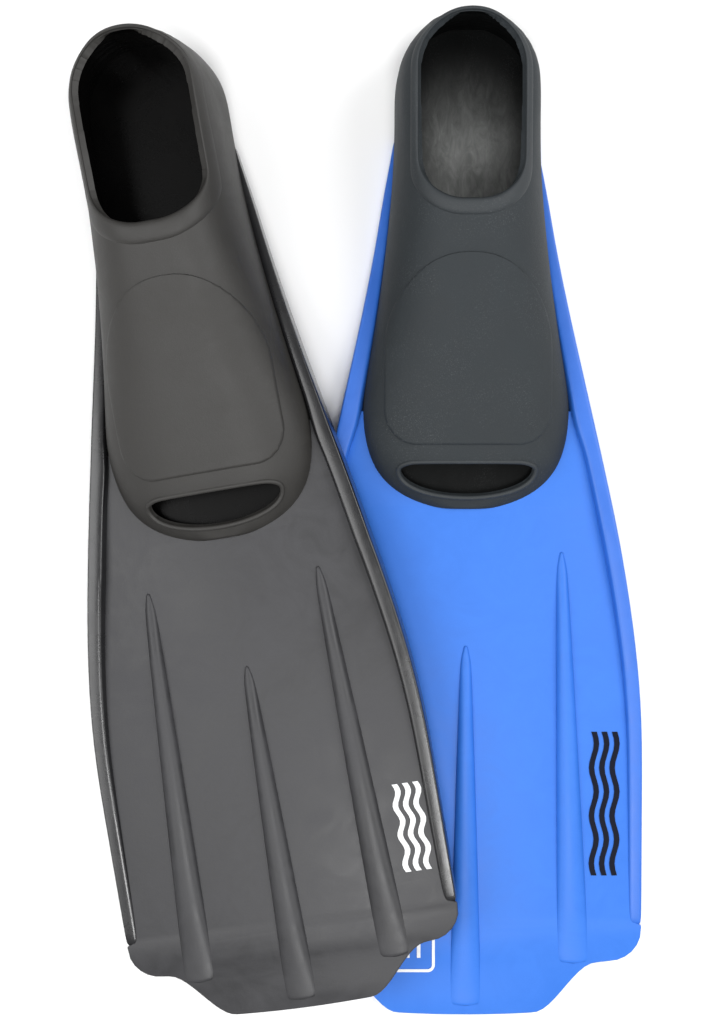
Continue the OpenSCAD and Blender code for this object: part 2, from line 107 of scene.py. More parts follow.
def pocket_half(s, inset=0.0):
    """Half-width of the foot pocket at a station."""
    heel, ball = HEEL_RADIUS - inset, BALL_HALF - inset
    if s < inset + heel:
        return math.sqrt(max(0.0, heel ** 2 - (inset + heel - s) ** 2))
    if s < WAIST:
        return heel
    if s < BALL:
        return mix(heel, ball, ((s - WAIST) / (BALL - WAIST)) ** SIDE_CURVE)
    t = min(1.0, (s - BALL) / (POCKET_LENGTH - inset - BALL))
    return ball * (1 - t ** NOSE_CURVE) ** (1 / NOSE_CURVE)


def crown(s):
    """Height of the pocket's top along its middle."""
    if s < MOUTH_FRONT:
        t = s / MOUTH_FRONT
        return mix(CROWN_HEEL, CROWN_MOUTH, t) - MOUTH_SAG * math.sin(math.pi * t)
    if s < SLOT_BACK:
        return mix(CROWN_MOUTH, CROWN_SLOT, (s - MOUTH_FRONT) / (SLOT_BACK - MOUTH_FRONT))
    return mix(CROWN_SLOT, CROWN_TOE, (s - SLOT_BACK) / (POCKET_LENGTH - SLOT_BACK))


def edge_half(s, half):
    """Half-width of a fin over its rails."""
    return mix(EDGE_START_HALF, half, smooth((s - EDGE_START) / EDGE_RUN))


def rail_width(s):
    if s < FLEX:
        return RAIL_WIDTH
    return mix(RAIL_WIDTH, RAIL_END_WIDTH, (s - FLEX) / (RAIL_END - FLEX))


def rail_inner(s, half):
    beside = pocket_half(min(s, ROOT_START - 0.002)) - 0.001
    if s < ROOT_START:
        return beside
    ahead = edge_half(s, half) - rail_width(s) - 0.002
    return mix(beside, max(beside, ahead), smooth((s - ROOT_START) / 0.016))


def rail_height(s):
    if s < BALL:
        rise = smooth((s - RAIL_START) / (BALL - RAIL_START))
        return mix(RAIL_START_HEIGHT, RAIL_HEIGHT, rise)
    if s < FLEX:
        return RAIL_HEIGHT
    return mix(RAIL_HEIGHT, RAIL_END_HEIGHT, (s - FLEX) / (RAIL_END - FLEX))


def blade_top(s):
    return mix(*BLADE_TOP, (s - FLEX) / (FIN_LENGTH - FLEX))


def blade_low(s):
    return blade_top(s) - mix(*BLADE_THICKNESS, (s - FLEX) / (FIN_LENGTH - FLEX))


def tail(x):
    """Station of the trailing edge: a long lobe in the middle and a step to each side."""
    step = smooth((abs(x) - LOBE_HALF) / STEP_WIDTH)
    return FIN_LENGTH - STEP_DEPTH * step - 0.004 * (x / 0.072) ** 2


# ---- Modelling steps --------------------------------------------------------

def only(piece):
    if bpy.context.mode != "OBJECT":
        bpy.ops.object.mode_set(mode="OBJECT")
    bpy.ops.object.select_all(action="DESELECT")
    piece.select_set(True)
    bpy.context.view_layer.objects.active = piece


def named(name):
    piece = bpy.context.active_object
    piece.name = piece.data.name = name
    bpy.ops.object.transform_apply(location=True, rotation=True, scale=True)
    return piece


def edit(piece, kind="VERT"):
    only(piece)
    bpy.ops.object.mode_set(mode="EDIT")
    bpy.ops.mesh.select_mode(type=kind)


def done():
    bpy.ops.object.mode_set(mode="OBJECT")


def pick(piece, wanted):
    """Selects the vertices, edges or faces that are wanted, and nothing else."""
    bpy.ops.mesh.select_all(action="DESELECT")
    mesh = bmesh.from_edit_mesh(piece.data)
    kind = bpy.context.tool_settings.mesh_select_mode
    parts = mesh.verts if kind[0] else mesh.edges if kind[1] else mesh.faces
    for part in parts:
        if wanted(part):
            part.select_set(True)
    mesh.select_flush_mode()
    bmesh.update_edit_mesh(piece.data)


def shift(x, y, z):
    bpy.ops.transform.translate(value=(x, y, z))


def stretch(x, y, z, centre):
    bpy.ops.transform.resize(value=(x, y, z), center_override=centre)


def extrude(x, y, z):
    bpy.ops.mesh.extrude_region_move(TRANSFORM_OT_translate={"value": (x, y, z)})


def everything():
    bpy.ops.mesh.select_all(action="SELECT")


def outwards():
    everything()
    bpy.ops.mesh.remove_doubles(threshold=1e-6)
    bpy.ops.mesh.normals_make_consistent(inside=False)


def turned_outwards(piece):
    edit(piece)
    outwards()
    done()


def cut_across(stations):
    """Cuts the piece in edit mode across at every station."""
    for s in stations:
        everything()
        bpy.ops.mesh.bisect(plane_co=(0, -s, 0), plane_no=(0, 1, 0))


def finish_with(piece, kind, **settings):
    """Adds a modifier and applies it."""
    only(piece)
    modifier = piece.modifiers.new(kind.lower(), kind)
    for key, value in settings.items():
        setattr(modifier, key, value)
    bpy.ops.object.modifier_apply(modifier=modifier.name)


def softened(piece, levels):
    finish_with(piece, "SUBSURF", levels=levels, render_levels=levels)


def rounded(piece, width, segments, angle):
    finish_with(piece, "BEVEL", width=width, segments=segments,
                limit_method="ANGLE", angle_limit=math.radians(angle))


def shaded(piece, angle):
    only(piece)
    bpy.ops.object.shade_smooth_by_angle(angle=math.radians(angle))


def drop(piece):
    bpy.data.objects.remove(piece)


def copy_of(piece, name):
    only(piece)
    bpy.ops.object.duplicate()
    made = bpy.context.active_object
    made.name = made.data.name = name
    return made


def section(name, low, left, right, steps):
    """An upright face 2 wide and 1 high whose corners are rounded by these shares."""
    bpy.ops.mesh.primitive_plane_add(size=2, rotation=(math.pi / 2, 0, 0))
    piece = named(name)
    edit(piece)
    everything()
    stretch(1, 1, 0.5, (0, 0, 0))
    shift(0, 0, 0.5)
    for share, wanted, n in (
        (low, lambda v: v.co.z < 1e-4, 3),
        (left, lambda v: v.co.z > 0.9999 and v.co.x < -0.9999, steps),
        (right, lambda v: v.co.z > 0.9999 and v.co.x > 0.9999, steps),
    ):
        if share:
            pick(piece, wanted)
            bpy.ops.mesh.bevel(offset=share, segments=n, affect="VERTICES")
    return piece


def loft(piece, stops):
    """Draws the section out along the fin. A stop is (station, x0, x1, z0, z1)."""
    everything()
    s, x0, x1, z0, z1 = stops[0]
    stretch((x1 - x0) / 2, 1, z1 - z0, (0, 0, 0))
    shift((x0 + x1) / 2, -s, z0)
    for before, now in zip(stops, stops[1:]):
        s0, a0, b0, c0, d0 = before
        s1, a1, b1, c1, d1 = now
        extrude(0, s0 - s1, 0)
        stretch((b1 - a1) / (b0 - a0), 1, (d1 - c1) / (d0 - c0), ((a0 + b0) / 2, -s1, c0))
        shift((a1 + b1 - a0 - b0) / 2, 0, c1 - c0)
    outwards()
    done()
    return piece


def trace(name, points, z=0.0):
    """Draws a closed outline, one point after another, and fills it."""
    bpy.ops.mesh.primitive_plane_add(size=0.001)
    piece = named(name)
    edit(piece)
    everything()
    bpy.ops.mesh.merge(type="CENTER")
    shift(points[0][0], -points[0][1], z)
    for a, b in zip(points, points[1:]):
        extrude(b[0] - a[0], a[1] - b[1], 0)
    everything()
    bpy.ops.mesh.edge_face_add()
    return piece


def egg(name, half, back, front, corners, z, depth=1.0, filled=True):
    """A flat face, or its outline alone, with rounded back and front corners. Along
    the fin a corner takes its share of the half-length, divided by the depth."""
    bpy.ops.mesh.primitive_plane_add(size=2)
    piece = named(name)
    edit(piece)
    everything()
    stretch(1, depth, 1, (0, 0, 0))
    for share, wanted in (
        (corners[0], lambda v: v.co.y > depth - 1e-4),
        (corners[1], lambda v: v.co.y < 1e-4 - depth),
    ):
        pick(piece, wanted)
        bpy.ops.mesh.bevel(offset=share, segments=CORNER_STEPS, affect="VERTICES")
    everything()
    stretch(half, (front - back) / 2 / depth, 1, (0, 0, 0))
    shift(0, -(back + front) / 2, z)
    if not filled:
        bpy.ops.mesh.delete(type="ONLY_FACE")
    bpy.ops.mesh.select_mode(type="EDGE")
    pick(piece, lambda e: e.calc_length() > 0.008)
    bpy.ops.mesh.subdivide(number_cuts=5)
    bpy.ops.mesh.select_mode(type="VERT")
    return piece


def band(name, line, target, wide, high, lift):
    """A rounded band of rubber that follows a closed line laid on a pocket."""
    laid_on(line, target)
    edit(line)
    everything()
    bpy.ops.mesh.vertices_smooth(factor=0.5, repeat=6)
    shift(0, 0, lift)
    done()
    bpy.ops.object.convert(target="CURVE")
    bpy.ops.curve.primitive_bezier_circle_add(radius=1)
    shape = bpy.context.active_object
    bpy.ops.object.mode_set(mode="EDIT")
    bpy.ops.curve.select_all(action="SELECT")
    bpy.ops.transform.resize(value=(wide / 2, high / 2, 1), center_override=(0, 0, 0))
    bpy.ops.object.mode_set(mode="OBJECT")
    only(line)
    line.data.twist_mode = "Z_UP"
    line.data.bevel_mode = "OBJECT"
    line.data.bevel_object = shape
    bpy.ops.object.convert(target="MESH")
    drop(shape)
    line.name = line.data.name = name
    turned_outwards(line)
    softened(line, 1)
    shaded(line, 60)
    return line


# ---- Pieces of one fin --------------------------------------------------------

HEEL_STATIONS = [0.0006, 0.003, 0.007, 0.013, 0.021, 0.030, 0.0395, 0.050]
FOOT_STATIONS = [0.060, 0.080, 0.095, 0.107, 0.120, 0.140, 0.160, 0.180, 0.200, 0.212]
TOE_STATIONS = [0.224, 0.234, 0.243, 0.250, 0.256, 0.261, 0.265, 0.2675, 0.2685]

# The heel's section is widened above these shares of its height, one after another.
HEEL_WIDENING = [(0.50, 1.045), (0.62, 1.055), (0.74, 1.09), (0.84, 1.10), (0.91, 1.10),
                 (0.965, 1.07)]
# The heel leans forward in small equal steps, above each height and behind each station.
LEAN_HEIGHTS = [0.024, 0.033, 0.042, 0.051, 0.060]
LEAN_STATIONS = [0.032, 0.026, 0.020, 0.014, 0.008]


def pocket_body(fin):
    """The soft pocket as one closed skin, before its openings are cut."""
    piece = section(fin + "_foot_pocket", 0.07, 0.75, 0.75, 8)
    stops = [
        (s, -pocket_half(s), pocket_half(s), FLOOR_GAP, crown(s))
        for s in HEEL_STATIONS + FOOT_STATIONS + TOE_STATIONS
    ]
    loft(piece, stops)
    edit(piece)
    for s in HEEL_STATIONS + FOOT_STATIONS[:5]:
        square = 1 - smooth((s - 0.050) / 0.075)
        for level, wider in HEEL_WIDENING:
            pick(piece, lambda v: abs(v.co.y + s) < 0.0003 and v.co.z > level * crown(s))
            stretch(wider ** square, 1, 1, (0, 0, 0))
    softened(piece, 2)
    edit(piece)
    lean = HEEL_LEAN / (len(LEAN_HEIGHTS) * len(LEAN_STATIONS))
    for high in LEAN_HEIGHTS:
        for near in LEAN_STATIONS:
            pick(piece, lambda v: v.co.z > high and v.co.y > -near)
            shift(0, -lean, 0)
    everything()
    bpy.ops.mesh.vertices_smooth(factor=0.3, repeat=2)
    done()
    return piece


def prism(piece, height):
    everything()
    extrude(0, 0, height)
    outwards()
    done()
    return piece


def cut(piece, cutter):
    finish_with(piece, "BOOLEAN", operation="DIFFERENCE", object=cutter, solver="EXACT")
    drop(cutter)


def open_up(piece, cutter):
    """Opens a hole through a closed skin, and takes away the walls the cutter leaves."""
    skin, hole = bpy.data.materials.new("skin"), bpy.data.materials.new("hole")
    painted(piece, skin)
    painted(cutter, hole)
    finish_with(piece, "BOOLEAN", operation="DIFFERENCE", object=cutter, solver="EXACT",
                material_mode="TRANSFER")
    edit(piece, "FACE")
    index = piece.data.materials.find("hole")
    pick(piece, lambda f: f.material_index == index)
    bpy.ops.mesh.delete(type="FACE")
    done()
    drop(cutter)
    piece.data.materials.clear()
    bpy.data.materials.remove(skin)
    bpy.data.materials.remove(hole)


def laid_on(sheet, skin):
    """Drops a flat sheet straight down onto the pocket."""
    finish_with(sheet, "SHRINKWRAP", target=skin, wrap_method="PROJECT",
                use_project_z=True, use_negative_direction=True,
                use_positive_direction=False)


def foot_pocket(fin, mouth_half, grow):
    pocket = pocket_body(fin)
    skin = copy_of(pocket, fin + "_skin")
    open_up(pocket, prism(egg("mouth_cutter", mouth_half, MOUTH_BACK, MOUTH_FRONT,
                              MOUTH_CORNERS, 0.030, MOUTH_DEPTH), 0.08))
    open_up(pocket, prism(egg("slot_cutter", SLOT_HALF, SLOT_BACK, SLOT_FRONT,
                              SLOT_CORNERS, 0.009, SLOT_DEPTH), 0.06))
    # The inner wall goes to a second slot, which takes the insole's darker material as painted
    # shade inside the pocket.
    painted(pocket, None, None)
    finish_with(pocket, "SOLIDIFY", thickness=WALL, offset=-1, material_offset=1)
    shaded(pocket, 40)
    collar = collar_band(fin, skin, mouth_half, grow)
    lip_line = egg("lip_line", SLOT_HALF + 0.0004, SLOT_BACK - 0.0004, SLOT_FRONT + 0.0004,
                   SLOT_CORNERS, ABOVE, SLOT_DEPTH, filled=False)
    lip = band(fin + "_toe_lip", lip_line, skin, 0.0026, 0.0024, -0.0002)
    panel = instep_panel(fin, skin)
    drop(skin)
    return pocket, collar, lip, panel


# Rings of the collar, from inside the opening to the crease round the band:
# how far across the band each lies, and how far it stands off the pocket.
COLLAR_RINGS = [(-0.16, -0.0044), (-0.13, -0.0008), (-0.02, 0.0008), (0.12, 0.0014),
                (0.40, 0.0015), (0.74, 0.0013), (0.90, 0.0007), (1.0, -0.0012)]


def collar_band(fin, skin, mouth_half, grow):
    """A flat band round the foot opening, with a crease where it meets the pocket."""
    side, back, front = grow

    def outline(share):
        near, far = MOUTH_BACK - back * share, MOUTH_FRONT + front * share
        return mouth_half + side * share, (far - near) / 2, -(near + far) / 2

    half, reach, middle = outline(COLLAR_RINGS[0][0])
    piece = egg(fin + "_collar_band", half, -middle - reach, -middle + reach,
                MOUTH_CORNERS, ABOVE, MOUTH_DEPTH, filled=False)
    bpy.ops.mesh.select_mode(type="EDGE")
    everything()
    count = len(bmesh.from_edit_mesh(piece.data).verts)
    for share, _ in COLLAR_RINGS[1:]:
        new_half, new_reach, new_middle = outline(share)
        bpy.ops.mesh.extrude_edges_move()
        stretch(new_half / half, new_reach / reach, 1, (0, middle, 0))
        shift(0, new_middle - middle, 0)
        half, reach, middle = new_half, new_reach, new_middle
    done()
    laid_on(piece, skin)
    edit(piece)
    for ring, (_, rise) in enumerate(COLLAR_RINGS):
        pick(piece, lambda v: ring * count <= v.index < (ring + 1) * count)
        shift(0, 0, rise)
    done()
    finish_with(piece, "SOLIDIFY", thickness=0.0022, offset=-1)
    turned_outwards(piece)
    softened(piece, 1)
    shaded(piece, 120)
    return piece


def instep_panel(fin, skin):
    """A raised panel whose edge dips into the pocket, which leaves a crease round it."""
    panel = egg(fin + "_instep_plate", PANEL_HALF, PANEL_BACK, PANEL_FRONT,
                PANEL_CORNERS, ABOVE)
    bpy.ops.mesh.select_mode(type="FACE")
    everything()
    for step in (0.0007, 0.0010, 0.0014):
        bpy.ops.mesh.inset(thickness=step)
    for i in range(-11, 12):
        everything()
        bpy.ops.mesh.bisect(plane_co=(0.004 * i + 0.0003, 0, 0), plane_no=(1, 0, 0))
    cut_across(PANEL_BACK + 0.0021 + 0.004 * i for i in range(26))
    done()
    laid_on(panel, skin)
    edit(panel)
    everything()
    shift(0, 0, 0.0013)
    bpy.ops.mesh.select_all(action="DESELECT")
    bpy.ops.mesh.select_non_manifold()
    shift(0, 0, -0.0026)
    done()
    finish_with(panel, "SOLIDIFY", thickness=0.002, offset=-1)
    turned_outwards(panel)
    shaded(panel, 70)
    return panel


def foot_bed(fin):
    """A dished insole: its edge turns up the wall round the heel."""
    stations = [BED_INSET + (HEEL_RADIUS - BED_INSET) * t
                for t in (0.03, 0.1, 0.2, 0.35, 0.5, 0.7, 0.85)]
    stations += [HEEL_RADIUS, 0.050, 0.060, 0.080, 0.110, 0.140, 0.170, 0.200, 0.215]
    stations += [0.228, 0.238, 0.246, 0.252, 0.257, 0.260]
    right = [(pocket_half(s, BED_INSET), s) for s in stations]
    left = [(-x, s) for x, s in reversed(right)]
    bed = trace(fin + "_foot_bed", right + left, BED_FLOOR)
    extrude(0, 0, BED_RISE)
    bpy.ops.mesh.select_mode(type="EDGE")
    pick(bed, lambda e: all(v.co.z < 0.0046 for v in e.verts) and len(e.link_faces) == 2)
    bpy.ops.mesh.bevel(offset=0.008, segments=6, affect="EDGES")
    bpy.ops.mesh.select_mode(type="VERT")
    pick(bed, lambda v: v.co.y < -0.085)
    stretch(1, 1, 0.2, (0, 0, 0.0055))
    bpy.ops.mesh.select_mode(type="FACE")
    pick(bed, lambda f: f.calc_center_median().z > 0.0165 and f.normal.z > 0.9)
    bpy.ops.mesh.delete(type="FACE")
    done()
    edit(bed)
    everything()
    bpy.ops.mesh.normals_make_consistent(inside=True)
    done()
    finish_with(bed, "SOLIDIFY", thickness=0.0012, offset=-1)
    shaded(bed, 50)
    return bed


def side_rail(fin, half):
    """A rail: a crest along the fin's edge that slopes down inwards."""
    piece = section(fin + "_right_side_rail", 0.06, 0.5, 0.22, 4)
    stations = [mix(0.100, 0.262, i / 12) for i in range(13)]
    stations += [0.265 + 0.0025 * i for i in range(12)]
    stations += [mix(0.300, RAIL_END - 0.006, i / 9) for i in range(10)]
    stops = [(s, rail_inner(s, half) - 0.001,
              rail_inner(s, half) + (edge_half(s, half) - rail_inner(s, half)) * lead,
              FLOOR_GAP, rail_height(s) * (0.6 + 0.4 * lead))
             for s, lead in ((0.062, 0.3), (0.072, 0.6), (0.084, 0.85))]
    stops += [(s, rail_inner(s, half), edge_half(s, half), FLOOR_GAP, rail_height(s))
              for s in stations]
    s, x0, x1, z0, z1 = stops[-1]
    stops += [(RAIL_END - 0.002, x0 + 0.0006, x1 - 0.0002, z0, z1 * 0.93),
              (RAIL_END, x0 + 0.002, x1 - 0.001, z0, z1 * 0.78)]
    loft(piece, stops)
    softened(piece, 1)
    shaded(piece, 50)
    return piece


def blade_outline(half):
    stations = [mix(ROOT_START, RAIL_END - 0.002, i / 24) for i in range(25)]
    right = [(rail_inner(s, half) + 0.003, s) for s in stations]
    x, low = half - CORNER, tail(half - CORNER) - CORNER
    right += [(half, RAIL_END)]
    right += [(x + CORNER * math.cos(math.radians(a)), low + CORNER * math.sin(math.radians(a)))
              for a in range(15, 90, 15)]
    right += [(mix(x, 0, i / 24), tail(mix(x, 0, i / 24))) for i in range(25)]
    left = [(-x, s) for x, s in reversed(right[:-1])]
    return right + left


def blade(fin, half):
    """A thin tapering sheet with a stepped trailing edge."""
    piece = trace(fin + "_blade_sheet", blade_outline(half), -0.005)
    everything()
    extrude(0, 0, 0.03)
    for face, cleared in ((blade_top, "clear_outer"), (blade_low, "clear_inner")):
        fall = (face(FLEX) - face(FIN_LENGTH)) / (FIN_LENGTH - FLEX)
        everything()
        bpy.ops.mesh.bisect(plane_co=(0, -FLEX, face(FLEX)), plane_no=(0, -fall, 1),
                            use_fill=True, **{cleared: True})
    outwards()
    done()
    rounded(piece, 0.0009, 2, 40)
    edit(piece)
    cut_across(0.262 + 0.0025 * i for i in range(14))
    cut_across(0.305 + 0.01 * i for i in range(24))
    done()
    stations = [mix(0.205, 0.255, i / 10) for i in range(11)]
    stations += [0.259, 0.262, 0.2645, 0.266, 0.2668]
    right = [(pocket_half(s, 0.002), s) for s in stations]
    toes = trace("toe_cutter", right + [(-x, s) for x, s in reversed(right)], -0.01)
    cut(piece, prism(toes, 0.05))
    shaded(piece, 30)
    return piece


def rib(name, start, end, x0, x1):
    """A half-round rib that widens towards the trailing edge."""
    piece = section(name, 0, 0.93, 0.93, 7)
    stops = []
    for t in (0, 0.012, 0.04, 0.08, 0.14, 0.22, 0.34, 0.5, 0.68, 0.80, 0.88, 0.94, 0.98, 1):
        s, x = mix(start, end, t), mix(x0, x1, t)
        w = mix(0.005, 0.018, t ** 0.8) / 2 * min(1, 0.35 + t * 20)
        h = 0.0044 * (0.25 + 0.75 * smooth(t * 5)) * (1 - 0.8 * smooth((t - 0.72) / 0.28))
        stops.append((s, x - w, x + w, blade_top(s) - 0.0008, blade_top(s) + h))
    loft(piece, stops)
    softened(piece, 1)
    shaded(piece, 60)
    return piece


def mirrored(piece, name):
    made = copy_of(piece, name)
    edit(made)
    everything()
    stretch(-1, 1, 1, (0, 0, 0))
    outwards()
    done()
    return made


# ---- Rubber and ink -------------------------------------------------------------

def new_group(name, inputs, outputs):
    tree = bpy.data.node_groups.new(name, "ShaderNodeTree")
    for label, kind, value in inputs:
        socket = tree.interface.new_socket(name=label, in_out="INPUT", socket_type=kind)
        socket.default_value = value
    for label, kind in outputs:
        tree.interface.new_socket(name=label, in_out="OUTPUT", socket_type=kind)
    return tree, tree.nodes.new("NodeGroupInput"), tree.nodes.new("NodeGroupOutput")


def add_node(tree, kind, inputs=None, **settings):
    node = tree.nodes.new(kind)
    for key, value in settings.items():
        setattr(node, key, value)
    for key, value in (inputs or {}).items():
        if isinstance(value, bpy.types.NodeSocket):
            tree.links.new(value, node.inputs[key])
        else:
            node.inputs[key].default_value = value
    return node


COLOUR, NUMBER, VECTOR = "NodeSocketColor", "NodeSocketFloat", "NodeSocketVector"


def moulded_grain():
    """Fine grain of a moulded rubber skin, with pale dust caught in it."""
    tree, start, end = new_group(
        "Moulded grain",
        [("Vector", VECTOR, (0, 0, 0)), ("Dust", NUMBER, 0.3)],
        [("Height", NUMBER), ("Dust", NUMBER)],
    )
    at = start.outputs["Vector"]
    fine = add_node(tree, "ShaderNodeTexNoise", {"Vector": at, "Scale": 1500.0, "Detail": 3.0})
    coarse = add_node(tree, "ShaderNodeTexNoise", {"Vector": at, "Scale": 420.0, "Detail": 2.0})
    height = add_node(tree, "ShaderNodeMath", {0: fine.outputs[0], 1: coarse.outputs[0]},
                      operation="ADD")
    specks = add_node(tree, "ShaderNodeMapRange",
                      {"Value": fine.outputs[0], "From Min": 0.56, "From Max": 0.72})
    patches = add_node(tree, "ShaderNodeTexNoise", {"Vector": at, "Scale": 45.0, "Detail": 4.0})
    spread = add_node(tree, "ShaderNodeMapRange",
                      {"Value": patches.outputs[0], "From Min": 0.35, "From Max": 0.7})
    both = add_node(tree, "ShaderNodeMath",
                    {0: specks.outputs[0], 1: spread.outputs[0]}, operation="MULTIPLY")
    dust = add_node(tree, "ShaderNodeMath", {0: both.outputs[0], 1: start.outputs["Dust"]},
                    operation="MULTIPLY")
    tree.links.new(height.outputs[0], end.inputs["Height"])
    tree.links.new(dust.outputs[0], end.inputs["Dust"])
    return tree


def flow_marks():
    """Broad cloudy swirls left where the rubber flowed in the mould."""
    tree, start, end = new_group(
        "Flow marks",
        [("Vector", VECTOR, (0, 0, 0)), ("Scale", NUMBER, 1.0), ("Strength", NUMBER, 0.3)],
        [("Mask", NUMBER)],
    )
    at = add_node(tree, "ShaderNodeVectorMath",
                  {0: start.outputs["Vector"], "Scale": start.outputs["Scale"]},
                  operation="SCALE")
    broad = add_node(tree, "ShaderNodeTexNoise",
                     {"Vector": at.outputs[0], "Scale": 9.0, "Detail": 6.0,
                      "Roughness": 0.6, "Distortion": 1.6})
    fine = add_node(tree, "ShaderNodeTexNoise",
                    {"Vector": at.outputs[0], "Scale": 38.0, "Detail": 5.0,
                     "Roughness": 0.65, "Distortion": 2.2})
    blend = add_node(tree, "ShaderNodeMath", {0: broad.outputs[0], 1: fine.outputs[0]},
                     operation="MULTIPLY")
    level = add_node(tree, "ShaderNodeMapRange",
                     {"Value": blend.outputs[0], "From Min": 0.14, "From Max": 0.42})
    mask = add_node(tree, "ShaderNodeMath", {0: level.outputs[0], 1: start.outputs["Strength"]},
                    operation="MULTIPLY")
    tree.links.new(mask.outputs[0], end.inputs["Mask"])
    return tree


GRAIN, FLOW = moulded_grain(), flow_marks()


def rubber(name, deep, pale, roughness, dust, flow, bump, flow_scale=1.0, coat=0.0,
           stretched=(1, 1, 1), rough_span=0.12, shine=0.5, painted_sheen_spot=None):
    """A rubber: a deep tone that clouds towards a paler one, with a moulded grain.
    Where a painted sheen spot is given, the paler tone keeps to that soft spot as painted sheen and
    falls off round it to the deep tone as painted shade: its centre and its radii."""
    material = bpy.data.materials.new(name)
    material.use_nodes = True
    tree = material.node_tree
    shader = tree.nodes["Principled BSDF"]
    spots = tree.nodes.new("ShaderNodeTexCoord").outputs["Object"]
    place = add_node(tree, "ShaderNodeMapping", {"Vector": spots, "Scale": stretched}).outputs[0]
    grain = add_node(tree, "ShaderNodeGroup", node_tree=GRAIN)
    flows = add_node(tree, "ShaderNodeGroup", node_tree=FLOW)
    for node, values in ((grain, {"Dust": dust}), (flows, {"Scale": flow_scale, "Strength": flow})):
        tree.links.new(place, node.inputs["Vector"])
        for key, value in values.items():
            node.inputs[key].default_value = value
    mask = flows.outputs["Mask"]
    # Painted sheen: a soft pale spot whose falloff paints shade towards its edge.
    if painted_sheen_spot:
        centre, radii = painted_sheen_spot
        spot = add_node(tree, "ShaderNodeMapping",
                        {"Vector": spots, "Location": centre, "Scale": radii},
                        vector_type="TEXTURE")
        painted_sheen_falloff = add_node(tree, "ShaderNodeTexGradient", {"Vector": spot.outputs[0]},
                        gradient_type="QUADRATIC_SPHERE")
        cloudy = add_node(tree, "ShaderNodeMath", {0: mask, 1: 0.45, 2: 0.45},
                          operation="MULTIPLY_ADD")
        mask = add_node(tree, "ShaderNodeMath", {0: cloudy.outputs[0], 1: painted_sheen_falloff.outputs["Fac"]},
                        operation="MULTIPLY").outputs[0]
    tone = add_node(tree, "ShaderNodeMix", {0: mask, 6: (*deep, 1), 7: (*pale, 1)},
                    data_type="RGBA")
    dust_tone = [min(1, c * 1.6 + 0.12) for c in pale]
    dusty = add_node(tree, "ShaderNodeMix",
                     {0: grain.outputs["Dust"], 6: tone.outputs[2], 7: (*dust_tone, 1)},
                     data_type="RGBA")
    tree.links.new(dusty.outputs[2], shader.inputs["Base Color"])
    rough = add_node(tree, "ShaderNodeMapRange",
                     {"Value": flows.outputs["Mask"], "From Max": max(flow, 0.01),
                      "To Min": roughness, "To Max": min(1.0, roughness + rough_span)})
    tree.links.new(rough.outputs[0], shader.inputs["Roughness"])
    bumps = add_node(tree, "ShaderNodeBump",
                     {"Height": grain.outputs["Height"], "Strength": bump, "Distance": 0.0003})
    tree.links.new(bumps.outputs[0], shader.inputs["Normal"])
    shader.inputs["Specular IOR Level"].default_value = shine
    shader.inputs["Coat Weight"].default_value = coat
    shader.inputs["Coat Roughness"].default_value = 0.25
    return material


def painted(piece, *materials):
    """Gives a piece its material, and its inner wall another where there is one; the pocket's inner
    wall gets the insole's darker material as painted shade.
    """
    slots = [face.material_index for face in piece.data.polygons]
    piece.data.materials.clear()
    for material in materials:
        piece.data.materials.append(material)
    for face, slot in zip(piece.data.polygons, slots):
        face.material_index = min(slot, len(materials) - 1)


# ---- The two fins ---------------------------------------------------------------

def joint(name):
    return next(j for j in frame["joints"] if j["name"] == name)


def black_place():
    """Where the black fin lies, from its own flex axis and the line it leans along."""
    across = Vector(joint("black_flex")["axis"]).normalized()
    along = Vector(joint("black_lean")["axis"]).normalized()
    up = along.cross(across).normalized()
    back = up.cross(across)
    turn = Matrix((across, back, up)).transposed()
    hinge = Vector(joint("black_flex")["pos_m"])
    return Matrix.Translation(hinge - turn @ Vector((0, -FLEX, HINGE_HEIGHT))) @ turn.to_4x4()


def drawn_out(piece, foot_draw, blade_draw):
    """Draws a piece out along the fin, behind and ahead of the line where it flexes."""
    edit(piece)
    for share, wanted in (
        (foot_draw, lambda v: v.co.y > -FLEX),
        (blade_draw, lambda v: v.co.y < -FLEX),
    ):
        if share != 1:
            pick(piece, wanted)
            stretch(1, share, 1, (0, -FLEX, 0))
    done()


def lay(piece, place):
    piece.matrix_world = place
    only(piece)
    bpy.ops.object.transform_apply(location=True, rotation=True, scale=True)


